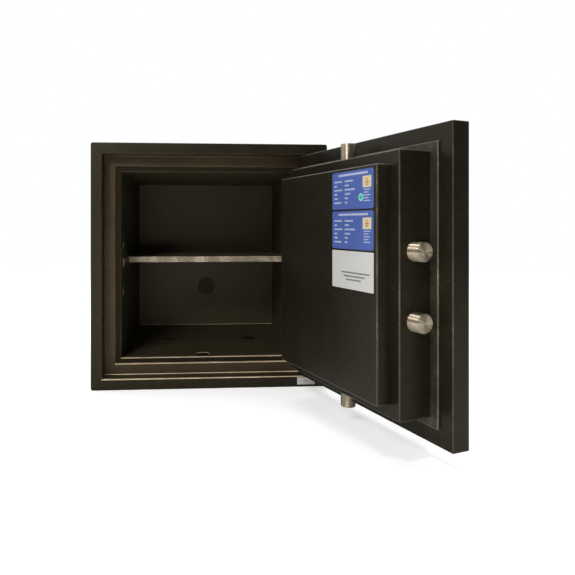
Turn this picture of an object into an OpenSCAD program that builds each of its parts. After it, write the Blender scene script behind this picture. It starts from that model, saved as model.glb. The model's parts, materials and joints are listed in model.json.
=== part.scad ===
// Small free-standing fire and burglary safe with an inset door.
// The origin is the middle of the underside, +Y points to the back, and the door opens at the right.
// Door parts are drawn in the closed position, measured from the front plane, and hung() swings them.

/* [Body] */
// Outer width of the body
body_w = 434; // [360:1:560]
// Outer height of the body
body_h = 450; // [370:1:600]
// Outer depth of the body
body_d = 420; // [350:1:560]
// Bend radius of the long outer edges
corner_r = 4; // [3.5:0.5:8]
// Thickness of the outer steel sheet
skin_t = 3; // [2:0.5:3]
// Thickness of the back wall, from the outside to the cavity
back_t = 50; // [40:1:70]

/* [Door opening] */
// Width of the front rim
rim_w = 20; // [18:1:26]
// Width of the ledge round the cavity
ledge_w = 30; // [24:1:36]
// Width of the second, shallow rebate
step_w = 10; // [7:0.5:14]
// Depth of the second rebate
step_d = 4; // [4:0.5:6]
// Thickness of the frame's side walls
frame_t = 5; // [4:0.5:8]
// Thickness of the frame's ledge
ledge_t = 8; // [8:0.5:12]
// Thickness of the cavity liner
liner_t = 2; // [1.5:0.5:3]
// Thickness of the fire seal strip
seal_t = 1.5; // [0.8:0.1:1.5]

/* [Shelf] */
// Height of the shelf's top above the floor
shelf_z = 235; // [120:1:300]
// Distance of the shelf's front edge from the front of the body
shelf_front = 127; // [115:1:200]
// Sheet thickness of the shelf
shelf_t = 1.5; // [1:0.5:3]
// Height of the shelf's turned-down lips
shelf_lip = 11.5; // [8:0.5:20]
// Thickness of the shelf rails
rail_t = 2.5; // [1.5:0.5:3]
// Height of the shelf rails
rail_h = 14; // [8:1:25]
// Distance of the rails' front ends from the front of the body
rail_front = 60; // [60:1:110]

/* [Anchoring] */
// Radius of the anchor hole in the back
rear_anchor_r = 8; // [5:0.5:10]
// Height of the back anchor hole above the base
rear_anchor_z = 147; // [110:1:200]
// Radius of the cap over the back anchor hole
rear_cap_r = 21.5; // [18:0.5:26]
// Radius of the two floor anchor holes
floor_anchor_r = 6.5; // [4:0.5:8]
// Distance between the floor anchor holes
floor_anchor_gap = 176; // [120:1:220]
// Distance of the floor anchor holes from the front of the body
floor_anchor_y = 196; // [150:1:230]
// Radius of the caps over the floor anchor holes
floor_cap_r = 14; // [12:0.5:18]

/* [Door] */
// Gap round the door in its opening
door_gap = 2; // [1.5:0.1:3]
// Gap between the closed door and the ledge
back_gap = 1; // [0.8:0.1:2]
// How far the closed door sits behind the rim
door_set = 5; // [4:0.5:5]
// Thickness of the door slab
slab_t = 26; // [22:0.5:32]
// Thickness of the slab's front plate
face_t = 10; // [6:0.5:14]
// Width of the solid border round the slab's filling
border_w = 30; // [26:1:40]
// Thickness of the inner pan
pan_t = 3; // [2:0.5:3]
// Inset of the pan from the slab's edges
pan_inset = 22; // [20:0.5:26]
// Door angle in the stored pose, from closed
door_open = 108; // [0:1:112]

/* [Hinge] */
// Distance of the pivot from the side wall of the opening
pivot_in = 12; // [12:0.5:13]
// Distance of the pivot from the front plane
pivot_y = 11; // [11:0.5:12]
// Radius of the pivot pins
pin_r = 4.5; // [3:0.1:5.4]
// Length of a pivot pin in the slab
pin_in = 25; // [15:1:40]
// Length of a pivot pin in the frame
pin_out = 10; // [6:1:11]
// Wall of the hinge bushes
bush_t = 2.5; // [2:0.1:2.9]

/* [Bolt box and cover] */
// Depth of the bolt box
box_d = 48; // [46:1:60]
// Sheet thickness of the bolt box
box_t = 3; // [2:0.5:4]
// Inset of the bolt box from the slab's free edge
box_free = 35.5; // [35.5:0.5:45]
// Inset of the bolt box from the slab's hinge edge
box_hinge = 73; // [40:1:80]
// Inset of the bolt box from the slab's top and bottom
box_ends = 33; // [30:1:45]
// Depth of the inner cover
cover_d = 22; // [10:1:30]
// Sheet thickness of the inner cover
cover_t = 2; // [1:0.5:3]
// Margin from the bolt box's free edge to the cover
cover_free = 15.5; // [8:0.5:30]
// Margin from the bolt box's hinge edge to the cover
cover_hinge = 5; // [3:0.5:20]
// Margin from the bolt box's top and bottom to the cover
cover_ends = 17.5; // [8:0.5:30]

/* [Boltwork] */
// Radius of the two side bolts
bolt_r = 12.5; // [8:0.5:15]
// How far a withdrawn side bolt sits inside the box's face
bolt_hide = 6; // [1:0.5:8]
// Distance between the two side bolts
bolt_gap = 88; // [70:1:120]
// Radius of the top and bottom bolts
end_bolt_r = 11; // [7:0.5:13]
// How far a withdrawn end bolt still stands out of the box
end_bolt_left = 3; // [1:0.5:3.5]
// Length of every bolt besides its travel
bolt_rest = 18; // [15:1:24]
// Travel of the bolts
throw = 24; // [20:0.5:29]
// Clearance of the bolts in their holes in the frame
strike_gap = 2.5; // [1:0.5:4]
// Thickness of the strike bars behind the liner
strike_t = 8; // [5:1:10]
// How far the handle sits below the door's middle
drive_drop = 2; // [-10:1:10]
// Thickness of the drive cam
cam_t = 6; // [4:0.5:6]
// Radius of the drive pins
peg_r = 3; // [2.5:0.1:3]
// Thickness of the lifting rods
rod_t = 5; // [3:0.5:5]
// Thickness of the carriage's arm
arm_t = 4; // [3:0.5:5]

/* [Handle and lock] */
// Radius of the handle's spindle
spindle_r = 5; // [4:0.5:5]
// Reach of the handle in front of the slab
handle_out = 37; // [30:1:50]
// Length of the lever from the spindle
lever_len = 92; // [60:1:120]
// Thickness of the lever
lever_t = 12; // [8:1:16]
// Radius of the hub
hub_r = 13; // [10:0.5:16]
// Radius of the handle's rose
rose_r = 24; // [18:1:30]
// Distance of the key below the handle
key_drop = 73; // [73:1:80]
// Width of the lock case
lock_w = 54; // [50:1:64]
// Height of the lock case
lock_h = 83; // [78:1:88]
// Depth of the lock case
lock_d = 30; // [30:1:31]
// Travel of the lock's bolt
lock_throw = 12; // [8:0.5:13]
// Radius of the key's shank
key_r = 3.8; // [3:0.1:4]

/* [Labels] */
// Width of a label
label_w = 95; // [60:1:110]
// Height of a label
label_h = 51.5; // [30:0.5:52]
// Gap between labels
label_gap = 2.5; // [1:0.5:6]
// Thickness of a label
label_t = 0.3; // [0.2:0.1:0.5]

/* [Hidden] */
$fn = 64;

// Clearances
fit = 0.05;         // running and seated round fits, on the radius
slide_gap = 0.3;    // flat pieces that slide past each other
seat_gap = 1;       // loose pieces in the cavity
pass_gap = 1.5;     // pieces of the boltwork that pass each other
rod_room = 7;       // room between the lock and the lower rod
eps = 1;            // overshoot of cuts

// Colours
paint = "#2a2623";
dark_paint = "#211e1c";
steel = "#c9c5bf";
zinc = "#9fa3a6";
bronze = "#b08d57";
fill_grey = "#8d8a83";
seal_grey = "#35322f";
label_blue = "#2f3f9f";
label_grey = "#c9ccd2";

// Body, measured from the front plane
rebate_d = door_set + slab_t + back_gap;
open_x = body_w / 2 - rim_w;
open_z0 = rim_w;
open_z1 = body_h - rim_w;
cav_x = open_x - ledge_w;
cav_z0 = open_z0 + ledge_w;
cav_z1 = open_z1 - ledge_w;
frame_back = rebate_d + ledge_t;
step_y = rebate_d + step_d;
cav_back = body_d - back_t;
liner_back = cav_back + liner_t;
cap_t = 2;
rear_spigot_r = rear_cap_r - 5.5;
floor_spigot_r = floor_cap_r - 4;
sleeve_t = 3;

// Door, closed
slab_x = open_x - door_gap;
slab_z0 = open_z0 + door_gap;
slab_z1 = open_z1 - door_gap;
slab_y1 = door_set + slab_t;
pan_y1 = slab_y1 + pan_t;
box_x0 = -slab_x + box_free;
box_x1 = slab_x - box_hinge;
box_z0 = slab_z0 + box_ends;
box_z1 = slab_z1 - box_ends;
box_y1 = pan_y1 + box_d;
cover_x0 = box_x0 + cover_free;
cover_x1 = box_x1 - cover_hinge;
cover_z0 = box_z0 + cover_ends;
cover_z1 = box_z1 - cover_ends;
cover_y1 = box_y1 + cover_d;
pivot_x = open_x - pivot_in;
hinge_cut = 6;      // bevel that lets the slab's inner hinge edge pass the ledge
border_y = door_set + face_t;

// Boltwork, closed and thrown
drive_z = body_h / 2 - drive_drop;
bolt_y = pan_y1 + box_d / 2;
bolt_len = throw + bolt_rest;
bolt_tip = box_x0 + bolt_hide - throw;
bolt_zs = [drive_z - bolt_gap / 2, drive_z + bolt_gap / 2];
bolt_tail = bolt_tip + bolt_len;
top_tip = box_z1 + end_bolt_left + throw;
bottom_tip = box_z0 - end_bolt_left - throw;
tip_bevel = 1.2;
guide_len = 8;
guide_wall = 3.5;
stud_r = 6;
bar_t = 8;
bar_w = 24;
nut_t = 4.5;
nut_r = 10.5;
crank = throw / sqrt(2);        // radius of the drive pins on the cam
half_throw = throw / 2;
peg_gap = 0.6;                  // the pins run on arcs, so their slots are a little wider
web = 2.8;                      // metal left beside a slot
rod_in = half_throw - peg_r - peg_gap - web;
rod_out = crank + peg_r + peg_gap + web;
slot_half = peg_r + peg_gap;
cam_r = crank + peg_r + web;
lock_x0 = bolt_tail + bar_t + nut_t + throw + pass_gap;
lock_x1 = lock_x0 + lock_w;
drive_x = lock_x1 + rod_room + rod_out;     // the handle's axis
cam_y = bolt_y - cam_t / 2 - 5;
rod_y = cam_y - 2 - rod_t;
arm_y = cam_y + cam_t + 1.5;
foot_t = 8;
foot_y1 = bolt_y + end_bolt_r;
top_foot = top_tip - bolt_len - foot_t;
bottom_foot = bottom_tip + bolt_len;
arm_z0 = drive_z + half_throw - slot_half - web;
arm_z1 = drive_z + crank + slot_half + web;
strike_back = bolt_y + bolt_r + strike_gap + 6;

// Lock
plate_y1 = pan_y1 + 3;
key_x = lock_x0 + lock_w / 2;
key_z = drive_z - key_drop;
lock_z0 = key_z - 35;
lock_z1 = lock_z0 + lock_h;
lock_y1 = plate_y1 + lock_d;
case_t = 2.5;
tab_t = 5;
lock_bolt_w = throw - tab_t - 2 * pass_gap;
lock_bolt_x0 = key_x - lock_bolt_w / 2;
lock_bolt_y0 = arm_y - 3;
lock_bolt_y1 = lock_y1 - case_t - 2 * slide_gap;
lock_bolt_len = 34;
lock_bolt_z1 = lock_z1 + 2;
tab_x0 = lock_bolt_x0 - pass_gap - tab_t;
tab_z0 = lock_bolt_z1 + 5;
guide_z = max(lock_z0 + 7, bottom_foot + foot_t + throw + 5);
screw_r = 2.5;
screw_in = 6;
bit_reach = 13;

// Space from [x0, x1], [y0, y1] to [z0, z1]
module block(x, y, z) {
    translate([x[0], y[0], z[0]])
        cube([x[1] - x[0], y[1] - y[0], z[1] - z[0]]);
}

// Round bar along X, Y or Z
module rod_x(y, z, r, x0, x1) {
    translate([x0, y, z])
        rotate([0, 90, 0])
            cylinder(r = r, h = x1 - x0);
}

module rod_along_y(x, z, r, y0, y1) {
    translate([x, y0, z])
        rotate([-90, 0, 0])
            cylinder(r = r, h = y1 - y0);
}

module rod_z(x, y, r, z0, z1) {
    translate([x, y, z0])
        cylinder(r = r, h = z1 - z0);
}

// Rectangle with round corners
module round_rect(x, z, r) {
    union() {
        translate([x[0] + r, z[0]])
            square([x[1] - x[0] - 2 * r, z[1] - z[0]]);
        translate([x[0], z[0] + r])
            square([x[1] - x[0], z[1] - z[0] - 2 * r]);
        for (cx = [x[0] + r, x[1] - r])
            for (cz = [z[0] + r, z[1] - r])
                translate([cx, cz])
                    circle(r = r);
    }
}

// The same rectangle, drawn out from y0 to y1
module round_block(x, y, z, r) {
    translate([0, y[1], 0])
        rotate([90, 0, 0])
            linear_extrude(height = y[1] - y[0])
                round_rect(x, z, r);
}

// Puts a piece that is drawn from the front plane in its place
module from_front() {
    translate([0, -body_d / 2, 0])
        children();
}

// Swings a door piece about the pivot
module hung() {
    from_front()
        translate([pivot_x, pivot_y, 0])
            rotate([0, 0, door_open])
                translate([-pivot_x, -pivot_y, 0])
                    children();
}

// A bolt that points along +Z, from its tail to its bevelled tip
module bolt_shape(r) {
    union() {
        cylinder(r = r, h = bolt_len - tip_bevel);
        translate([0, 0, bolt_len - tip_bevel])
            cylinder(r1 = r, r2 = r - tip_bevel, h = tip_bevel);
    }
}

// Holes of the four bolts, r + gap wide, through whatever holds them
module bolt_cuts(gap, side_end, top_end, bottom_end) {
    for (z = bolt_zs)
        rod_x(bolt_y, z, bolt_r + gap, side_end, box_x0 + box_t + eps);
    rod_z(drive_x, bolt_y, end_bolt_r + gap, box_z1 - box_t - eps, top_end);
    rod_z(drive_x, bolt_y, end_bolt_r + gap, bottom_end, box_z0 + box_t + eps);
}

module strike_shapes() {
    block([-cav_x - liner_t - strike_t, -cav_x - liner_t], [frame_back, strike_back],
        [bolt_zs[0] - 30, bolt_zs[1] + 30]);
    block([drive_x - 30, drive_x + 30], [frame_back, strike_back],
        [cav_z1 + liner_t, cav_z1 + liner_t + strike_t]);
    block([drive_x - 30, drive_x + 30], [frame_back, strike_back],
        [cav_z0 - liner_t - strike_t, cav_z0 - liner_t]);
}

module frame_outline(y) {
    block([-open_x - frame_t, open_x + frame_t], y, [open_z0 - frame_t, open_z1 + frame_t]);
}

module liner_outline(y) {
    block([-cav_x - liner_t, cav_x + liner_t], y, [cav_z0 - liner_t, cav_z1 + liner_t]);
}

module bush_places(r) {
    rod_z(pivot_x, pivot_y, r, open_z1, open_z1 + pin_out + 2);
    rod_z(pivot_x, pivot_y, r, open_z0 - pin_out - 2, open_z0);
}

module floor_holes(r, z0, z1) {
    for (side = [-1, 1])
        rod_z(side * floor_anchor_gap / 2, floor_anchor_y, r, z0, z1);
}

// ---------- Body ----------

module outer_casing() {
    color(paint)
        from_front()
            difference() {
                round_block([-body_w / 2, body_w / 2], [0, body_d], [0, body_h], corner_r);
                round_block([-body_w / 2 + skin_t, body_w / 2 - skin_t], [skin_t, body_d + eps],
                    [skin_t, body_h - skin_t], corner_r - skin_t);
                block([-open_x, open_x], [-eps, skin_t + eps], [open_z0, open_z1]);
                floor_holes(floor_anchor_r, -eps, skin_t + eps);
            }
}

module rear_panel() {
    color(paint)
        from_front()
            difference() {
                round_block([-body_w / 2 + skin_t, body_w / 2 - skin_t], [body_d - skin_t, body_d],
                    [skin_t, body_h - skin_t], corner_r - skin_t);
                rod_along_y(0, rear_anchor_z, rear_anchor_r, cav_back, body_d + eps);
            }
}

module door_frame() {
    color(paint)
        from_front()
            difference() {
                frame_outline([skin_t, frame_back]);
                block([-open_x, open_x], [-eps, rebate_d], [open_z0, open_z1]);
                block([-cav_x - step_w, cav_x + step_w], [-eps, step_y],
                    [cav_z0 - step_w, cav_z1 + step_w]);
                block([-cav_x, cav_x], [-eps, frame_back + eps], [cav_z0, cav_z1]);
                bush_places(pin_r + fit + bush_t);
            }
}

module strike_bars() {
    color(zinc)
        from_front()
            difference() {
                strike_shapes();
                bolt_cuts(strike_gap, -body_w / 2, body_h, 0);
            }
}

module inner_casing() {
    color(dark_paint)
        from_front()
            difference() {
                liner_outline([frame_back, liner_back]);
                block([-cav_x, cav_x], [frame_back - eps, cav_back], [cav_z0, cav_z1]);
                bolt_cuts(strike_gap, -body_w / 2, body_h, 0);
                floor_holes(floor_spigot_r, cav_z0 - liner_t - eps, cav_z0 + eps);
                rod_along_y(0, rear_anchor_z, rear_spigot_r, cav_back - eps, liner_back + eps);
            }
}

module barrier_fill() {
    color(fill_grey)
        from_front()
            difference() {
                round_block([-body_w / 2 + skin_t, body_w / 2 - skin_t], [skin_t, body_d - skin_t],
                    [skin_t, body_h - skin_t], corner_r - skin_t);
                frame_outline([0, frame_back]);
                liner_outline([frame_back - eps, liner_back]);
                strike_shapes();
                bolt_cuts(strike_gap, bolt_tip - 3, top_tip + 3, bottom_tip - 3);
                bush_places(pin_r + fit + bush_t);
                floor_holes(floor_anchor_r + sleeve_t, 0, cav_z0);
                rod_along_y(0, rear_anchor_z, rear_anchor_r + sleeve_t, cav_back, body_d);
            }
}

module fire_seal() {
    color(seal_grey)
        from_front()
            difference() {
                block([-cav_x - step_w + seat_gap, cav_x + step_w - seat_gap], [step_y - seal_t, step_y],
                    [cav_z0 - step_w + seat_gap, cav_z1 + step_w - seat_gap]);
                block([-cav_x - seat_gap, cav_x + seat_gap], [0, step_y + eps],
                    [cav_z0 - seat_gap, cav_z1 + seat_gap]);
            }
}

module shelf() {
    lip_x = cav_x - rail_t - seat_gap;
    back = cav_back - 3;
    color(dark_paint)
        from_front()
            union() {
                block([-cav_x + seat_gap, cav_x - seat_gap], [shelf_front, back],
                    [shelf_z - shelf_t, shelf_z]);
                block([-lip_x, lip_x], [shelf_front, shelf_front + shelf_t], [shelf_z - shelf_lip, shelf_z]);
                block([-lip_x, lip_x], [back - shelf_t, back], [shelf_z - shelf_lip, shelf_z]);
            }
}

module shelf_rails() {
    color(dark_paint)
        from_front()
            for (side = [-1, 1])
                block([side < 0 ? -cav_x : cav_x - rail_t, side < 0 ? -cav_x + rail_t : cav_x],
                    [rail_front, cav_back - 4], [shelf_z - shelf_t - rail_h, shelf_z - shelf_t]);
}

module rear_anchor_sleeve() {
    color(zinc)
        from_front()
            difference() {
                rod_along_y(0, rear_anchor_z, rear_anchor_r + sleeve_t, liner_back, body_d - skin_t);
                rod_along_y(0, rear_anchor_z, rear_anchor_r, cav_back, body_d);
            }
}

module rear_anchor_cap() {
    color(dark_paint)
        from_front()
            union() {
                rod_along_y(0, rear_anchor_z, rear_cap_r, cav_back - cap_t, cav_back);
                rod_along_y(0, rear_anchor_z, rear_spigot_r - fit, cav_back - cap_t, cav_back + liner_t);
            }
}

module floor_anchor_sleeves() {
    color(zinc)
        from_front()
            difference() {
                floor_holes(floor_anchor_r + sleeve_t, skin_t, cav_z0 - liner_t);
                floor_holes(floor_anchor_r, 0, cav_z0);
            }
}

module floor_anchor_caps() {
    color(dark_paint)
        from_front()
            union() {
                floor_holes(floor_cap_r, cav_z0, cav_z0 + cap_t);
                floor_holes(floor_spigot_r - fit, cav_z0 - liner_t, cav_z0 + cap_t);
            }
}

module hinge_bushes() {
    color(bronze)
        from_front()
            difference() {
                bush_places(pin_r + fit + bush_t);
                rod_z(pivot_x, pivot_y, pin_r + fit, 0, body_h);
            }
}

module thrust_washer() {
    color(bronze)
        from_front()
            difference() {
                rod_z(pivot_x, pivot_y, pin_r + bush_t, open_z0, slab_z0 - 0.1);
                rod_z(pivot_x, pivot_y, pin_r + fit, 0, slab_z0);
            }
}

module rating_plate() {
    x1 = open_x - 3.5;
    color("#e9e9e6")
        from_front()
            difference() {
                block([x1 - 33, x1], [-0.8, 0], [4.5, 17.5]);
                rod_along_y(x1 - 17.5, 11.5, 1.2, -eps, eps);
            }
}

// ---------- Door ----------

module door_plate() {
    color(paint)
        hung()
            difference() {
                translate([0, 0, slab_z0])
                    linear_extrude(height = slab_z1 - slab_z0)
                        polygon([[-slab_x, door_set], [slab_x, door_set], [slab_x, slab_y1 - hinge_cut],
                            [slab_x - hinge_cut, slab_y1], [-slab_x, slab_y1]]);
                block([-slab_x + border_w, slab_x - border_w], [border_y, slab_y1 + eps],
                    [slab_z0 + border_w, slab_z1 - border_w]);
                rod_along_y(drive_x, drive_z, spindle_r + fit, 0, slab_y1);
                rod_along_y(key_x, key_z, key_r + 0.5, 0, slab_y1);
                rod_z(pivot_x, pivot_y, pin_r + fit, slab_z1 - pin_in, slab_z1 + eps);
                rod_z(pivot_x, pivot_y, pin_r + fit, slab_z0 - eps, slab_z0 + pin_in);
            }
}

module door_fill() {
    color(fill_grey)
        hung()
            difference() {
                block([-slab_x + border_w, slab_x - border_w], [border_y, slab_y1],
                    [slab_z0 + border_w, slab_z1 - border_w]);
                rod_along_y(drive_x, drive_z, spindle_r + 1, 0, slab_y1 + eps);
                rod_along_y(key_x, key_z, key_r + 1, 0, slab_y1 + eps);
            }
}

module door_pan() {
    color(paint)
        hung()
            difference() {
                block([-slab_x + pan_inset, slab_x - pan_inset], [slab_y1, pan_y1],
                    [slab_z0 + pan_inset, slab_z1 - pan_inset]);
                rod_along_y(drive_x, drive_z, spindle_r + 1, 0, pan_y1 + eps);
                rod_along_y(key_x, key_z, key_r + 1, 0, pan_y1 + eps);
            }
}

module hinge_pins() {
    color(steel)
        hung()
            union() {
                rod_z(pivot_x, pivot_y, pin_r, slab_z1 - pin_in, open_z1 + pin_out);
                rod_z(pivot_x, pivot_y, pin_r, open_z0 - pin_out, slab_z0 + pin_in);
            }
}

module bolt_box() {
    color(paint)
        hung()
            difference() {
                block([box_x0, box_x1], [pan_y1, box_y1], [box_z0, box_z1]);
                block([box_x0 + box_t, box_x1 - box_t], [pan_y1 - eps, box_y1 - box_t],
                    [box_z0 + box_t, box_z1 - box_t]);
                bolt_cuts(slide_gap, box_x0 - eps, box_z1 + eps, box_z0 - eps);
            }
}

module inner_cover() {
    color(paint)
        hung()
            difference() {
                block([cover_x0, cover_x1], [box_y1, cover_y1], [cover_z0, cover_z1]);
                block([cover_x0 + cover_t, cover_x1 - cover_t], [box_y1 - eps, cover_y1 - cover_t],
                    [cover_z0 + cover_t, cover_z1 - cover_t]);
            }
}

module cover_fill() {
    color(fill_grey)
        hung()
            block([cover_x0 + cover_t, cover_x1 - cover_t], [box_y1, cover_y1 - cover_t],
                [cover_z0 + cover_t, cover_z1 - cover_t]);
}

module bolt_bushes() {
    color(bronze)
        hung()
            difference() {
                union() {
                    for (z = bolt_zs)
                        rod_x(bolt_y, z, bolt_r + guide_wall, box_x0 + box_t, box_x0 + box_t + guide_len);
                    rod_z(drive_x, bolt_y, end_bolt_r + guide_wall, box_z1 - box_t - guide_len, box_z1 - box_t);
                    rod_z(drive_x, bolt_y, end_bolt_r + guide_wall, box_z0 + box_t, box_z0 + box_t + guide_len);
                }
                for (z = bolt_zs)
                    rod_x(bolt_y, z, bolt_r + fit, box_x0, box_x0 + 2 * guide_len);
                rod_z(drive_x, bolt_y, end_bolt_r + fit, 0, body_h);
            }
}

// One guide block, with a slot for the rod on the given side, standing on y0
module rod_guide(side, y0, z) {
    inner = rod_in - slide_gap;
    outer = rod_out + slide_gap;
    xs = side > 0 ? [drive_x + inner, drive_x + outer] : [drive_x - outer, drive_x - inner];
    difference() {
        block([xs[0] - 3, xs[1] + 3], [y0, rod_y + rod_t + 4], [z, z + 12]);
        block(xs, [rod_y - slide_gap, rod_y + rod_t + slide_gap], [z - eps, z + 12 + eps]);
    }
}

module rod_guides() {
    color(zinc)
        hung()
            union() {
                rod_guide(1, pan_y1, box_z1 - 75);
                rod_guide(-1, plate_y1, guide_z);
            }
}

module hard_plate() {
    color(zinc)
        hung()
            difference() {
                block([lock_x0 - 8, drive_x + cam_r], [pan_y1, plate_y1], [lock_z0 - 7, drive_z + 39]);
                rod_along_y(drive_x, drive_z, spindle_r + 1, 0, plate_y1 + eps);
                rod_along_y(key_x, key_z, key_r + 1, 0, plate_y1 + eps);
                lock_screw_places(screw_r + fit, pan_y1 - eps, plate_y1 + eps);
            }
}

module lock_screw_places(r, y0, y1) {
    for (x = [lock_x0 + screw_in, lock_x1 - screw_in])
        for (z = [lock_z0 + screw_in, lock_z1 - screw_in])
            rod_along_y(x, z, r, y0, y1);
}

module lock_case() {
    color(zinc)
        hung()
            difference() {
                union() {
                    difference() {
                        block([lock_x0, lock_x1], [plate_y1, lock_y1], [lock_z0, lock_z1]);
                        block([lock_x0 + case_t, lock_x1 - case_t], [plate_y1 + case_t, lock_y1 - case_t],
                            [lock_z0 + case_t, lock_z1 - case_t]);
                    }
                    lock_screw_places(screw_in - 1.5, plate_y1 + 1, lock_y1 - 1);
                }
                block([lock_bolt_x0 - slide_gap, lock_bolt_x0 + lock_bolt_w + slide_gap],
                    [lock_bolt_y0 - slide_gap, lock_bolt_y1 + slide_gap],
                    [lock_z1 - case_t - eps, lock_z1 + eps]);
                rod_along_y(key_x, key_z, key_r + 1, plate_y1 - eps, plate_y1 + case_t + eps);
                lock_screw_places(screw_r + fit, plate_y1 - eps, lock_y1 + eps);
            }
}

module lock_levers() {
    lever_x = lock_x1 - case_t - 6;
    lever_y = plate_y1 + case_t + 10;
    post_z = key_z + 22;
    color(bronze)
        hung()
            union() {
                rod_along_y(lever_x, post_z, 2, plate_y1 + case_t, lock_y1 - case_t);
                for (i = [0:4])
                    difference() {
                        union() {
                            block([lever_x - 3.5, lever_x + 3.5], [lever_y + 3 * i, lever_y + 3 * i + 1.6],
                                [key_z - 18, post_z]);
                            rod_along_y(lever_x, post_z, 5, lever_y + 3 * i, lever_y + 3 * i + 1.6);
                        }
                        rod_along_y(lever_x, post_z, 2 + fit, lever_y - eps, lock_y1);
                    }
            }
}

module lock_screws() {
    color(steel)
        hung()
            union() {
                lock_screw_places(screw_r, pan_y1, lock_y1 + 1);
                lock_screw_places(screw_in - 1.5, lock_y1, lock_y1 + 3);
            }
}

module handle_rose() {
    color(steel)
        hung()
            difference() {
                rod_along_y(drive_x, drive_z, rose_r, door_set - 4, door_set);
                rod_along_y(drive_x, drive_z, spindle_r + slide_gap, -eps, door_set + eps);
            }
}

module key_escutcheon() {
    color(steel)
        hung()
            difference() {
                rod_along_y(key_x, key_z, 11, door_set - 2.5, door_set);
                rod_along_y(key_x, key_z, key_r + 0.5, 0, door_set + eps);
            }
}

// Label number i, counted from the top
module label_plate(i) {
    x0 = cover_x0 + 6.5;
    z1 = cover_z1 - 4.5 - i * (label_h + label_gap);
    round_block([x0, x0 + label_w], [cover_y1, cover_y1 + label_t], [z1 - label_h, z1], 4);
}

module label_upper() {
    color(label_blue)
        hung()
            label_plate(0);
}

module label_middle() {
    color(label_blue)
        hung()
            label_plate(1);
}

module label_lower() {
    color(label_grey)
        hung()
            label_plate(2);
}

// ---------- Boltwork ----------

module side_bolts() {
    color(steel)
        hung()
            for (z = bolt_zs)
                union() {
                    translate([bolt_tail, bolt_y, z])
                        rotate([0, -90, 0])
                            bolt_shape(bolt_r);
                    rod_x(bolt_y, z, stud_r, bolt_tail - eps, bolt_tail + bar_t + nut_t - 1);
                }
}

module bolt_nuts() {
    color(zinc)
        hung()
            for (z = bolt_zs)
                translate([bolt_tail + bar_t, bolt_y, z])
                    rotate([0, 90, 0])
                        difference() {
                            cylinder(r = nut_r, h = nut_t, $fn = 6);
                            translate([0, 0, -eps])
                                cylinder(r = stud_r + fit, h = nut_t + 2 * eps);
                        }
}

module bolt_carriage() {
    color(zinc)
        hung()
            difference() {
                block([bolt_tail, bolt_tail + bar_t], [bolt_y - bar_w / 2, bolt_y + bar_w / 2],
                    [bolt_zs[0] - 19, bolt_zs[1] + 19]);
                for (z = bolt_zs)
                    rod_x(bolt_y, z, stud_r + fit, bolt_tail - eps, bolt_tail + bar_t + eps);
            }
}

module carriage_arm() {
    slot_x = drive_x - half_throw;
    color(zinc)
        hung()
            difference() {
                block([bolt_tail + bar_t, slot_x + slot_half + web], [arm_y, arm_y + arm_t], [arm_z0, arm_z1]);
                block([slot_x - slot_half, slot_x + slot_half], [arm_y - eps, arm_y + arm_t + eps],
                    [arm_z0 + web, arm_z1 - web]);
            }
}

module lock_tab() {
    color(zinc)
        hung()
            block([tab_x0, tab_x0 + tab_t], [arm_y, arm_y + arm_t], [tab_z0, arm_z0]);
}

module top_bolt() {
    color(steel)
        hung()
            translate([drive_x, bolt_y, top_tip - bolt_len])
                bolt_shape(end_bolt_r);
}

module bottom_bolt() {
    color(steel)
        hung()
            translate([drive_x, bolt_y, bottom_tip + bolt_len])
                rotate([180, 0, 0])
                    bolt_shape(end_bolt_r);
}

module top_rod() {
    slot_z = drive_z + half_throw;
    color(zinc)
        hung()
            difference() {
                union() {
                    block([drive_x + rod_in, drive_x + rod_out], [rod_y, rod_y + rod_t],
                        [slot_z - slot_half - web, top_foot + foot_t]);
                    block([drive_x - end_bolt_r, drive_x + rod_out], [rod_y, foot_y1],
                        [top_foot, top_foot + foot_t]);
                }
                block([drive_x + rod_in + web, drive_x + rod_out - web], [rod_y - eps, rod_y + rod_t + eps],
                    [slot_z - slot_half, slot_z + slot_half]);
            }
}

module bottom_rod() {
    slot_z = drive_z - half_throw;
    color(zinc)
        hung()
            difference() {
                union() {
                    block([drive_x - rod_out, drive_x - rod_in], [rod_y, rod_y + rod_t],
                        [bottom_foot, slot_z + slot_half + web]);
                    block([drive_x - rod_out, drive_x + end_bolt_r], [rod_y, foot_y1],
                        [bottom_foot, bottom_foot + foot_t]);
                }
                block([drive_x - rod_out + web, drive_x - rod_in - web], [rod_y - eps, rod_y + rod_t + eps],
                    [slot_z - slot_half, slot_z + slot_half]);
            }
}

// Places of the pins on the cam: the top rod's, the carriage's and the bottom rod's
module on_crank(angle) {
    translate([drive_x + crank * cos(angle), 0, drive_z + crank * sin(angle)])
        children();
}

module drive_cam() {
    color(zinc)
        hung()
            difference() {
                rod_along_y(drive_x, drive_z, cam_r, cam_y, cam_y + cam_t);
                rod_along_y(drive_x, drive_z, spindle_r + fit, cam_y - eps, cam_y + cam_t + eps);
                for (angle = [45, 135, 225])
                    on_crank(angle)
                        rod_along_y(0, 0, peg_r + fit, cam_y - eps, cam_y + cam_t + eps);
            }
}

module drive_pins() {
    color(steel)
        hung()
            union() {
                for (angle = [45, 225])
                    on_crank(angle)
                        rod_along_y(0, 0, peg_r, rod_y - 1, cam_y + cam_t);
                on_crank(135)
                    rod_along_y(0, 0, peg_r, cam_y, arm_y + arm_t + 1);
            }
}

module handle_spindle() {
    color(steel)
        hung()
            rod_along_y(drive_x, drive_z, spindle_r, door_set - handle_out + 6, cam_y + cam_t + 1);
}

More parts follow.
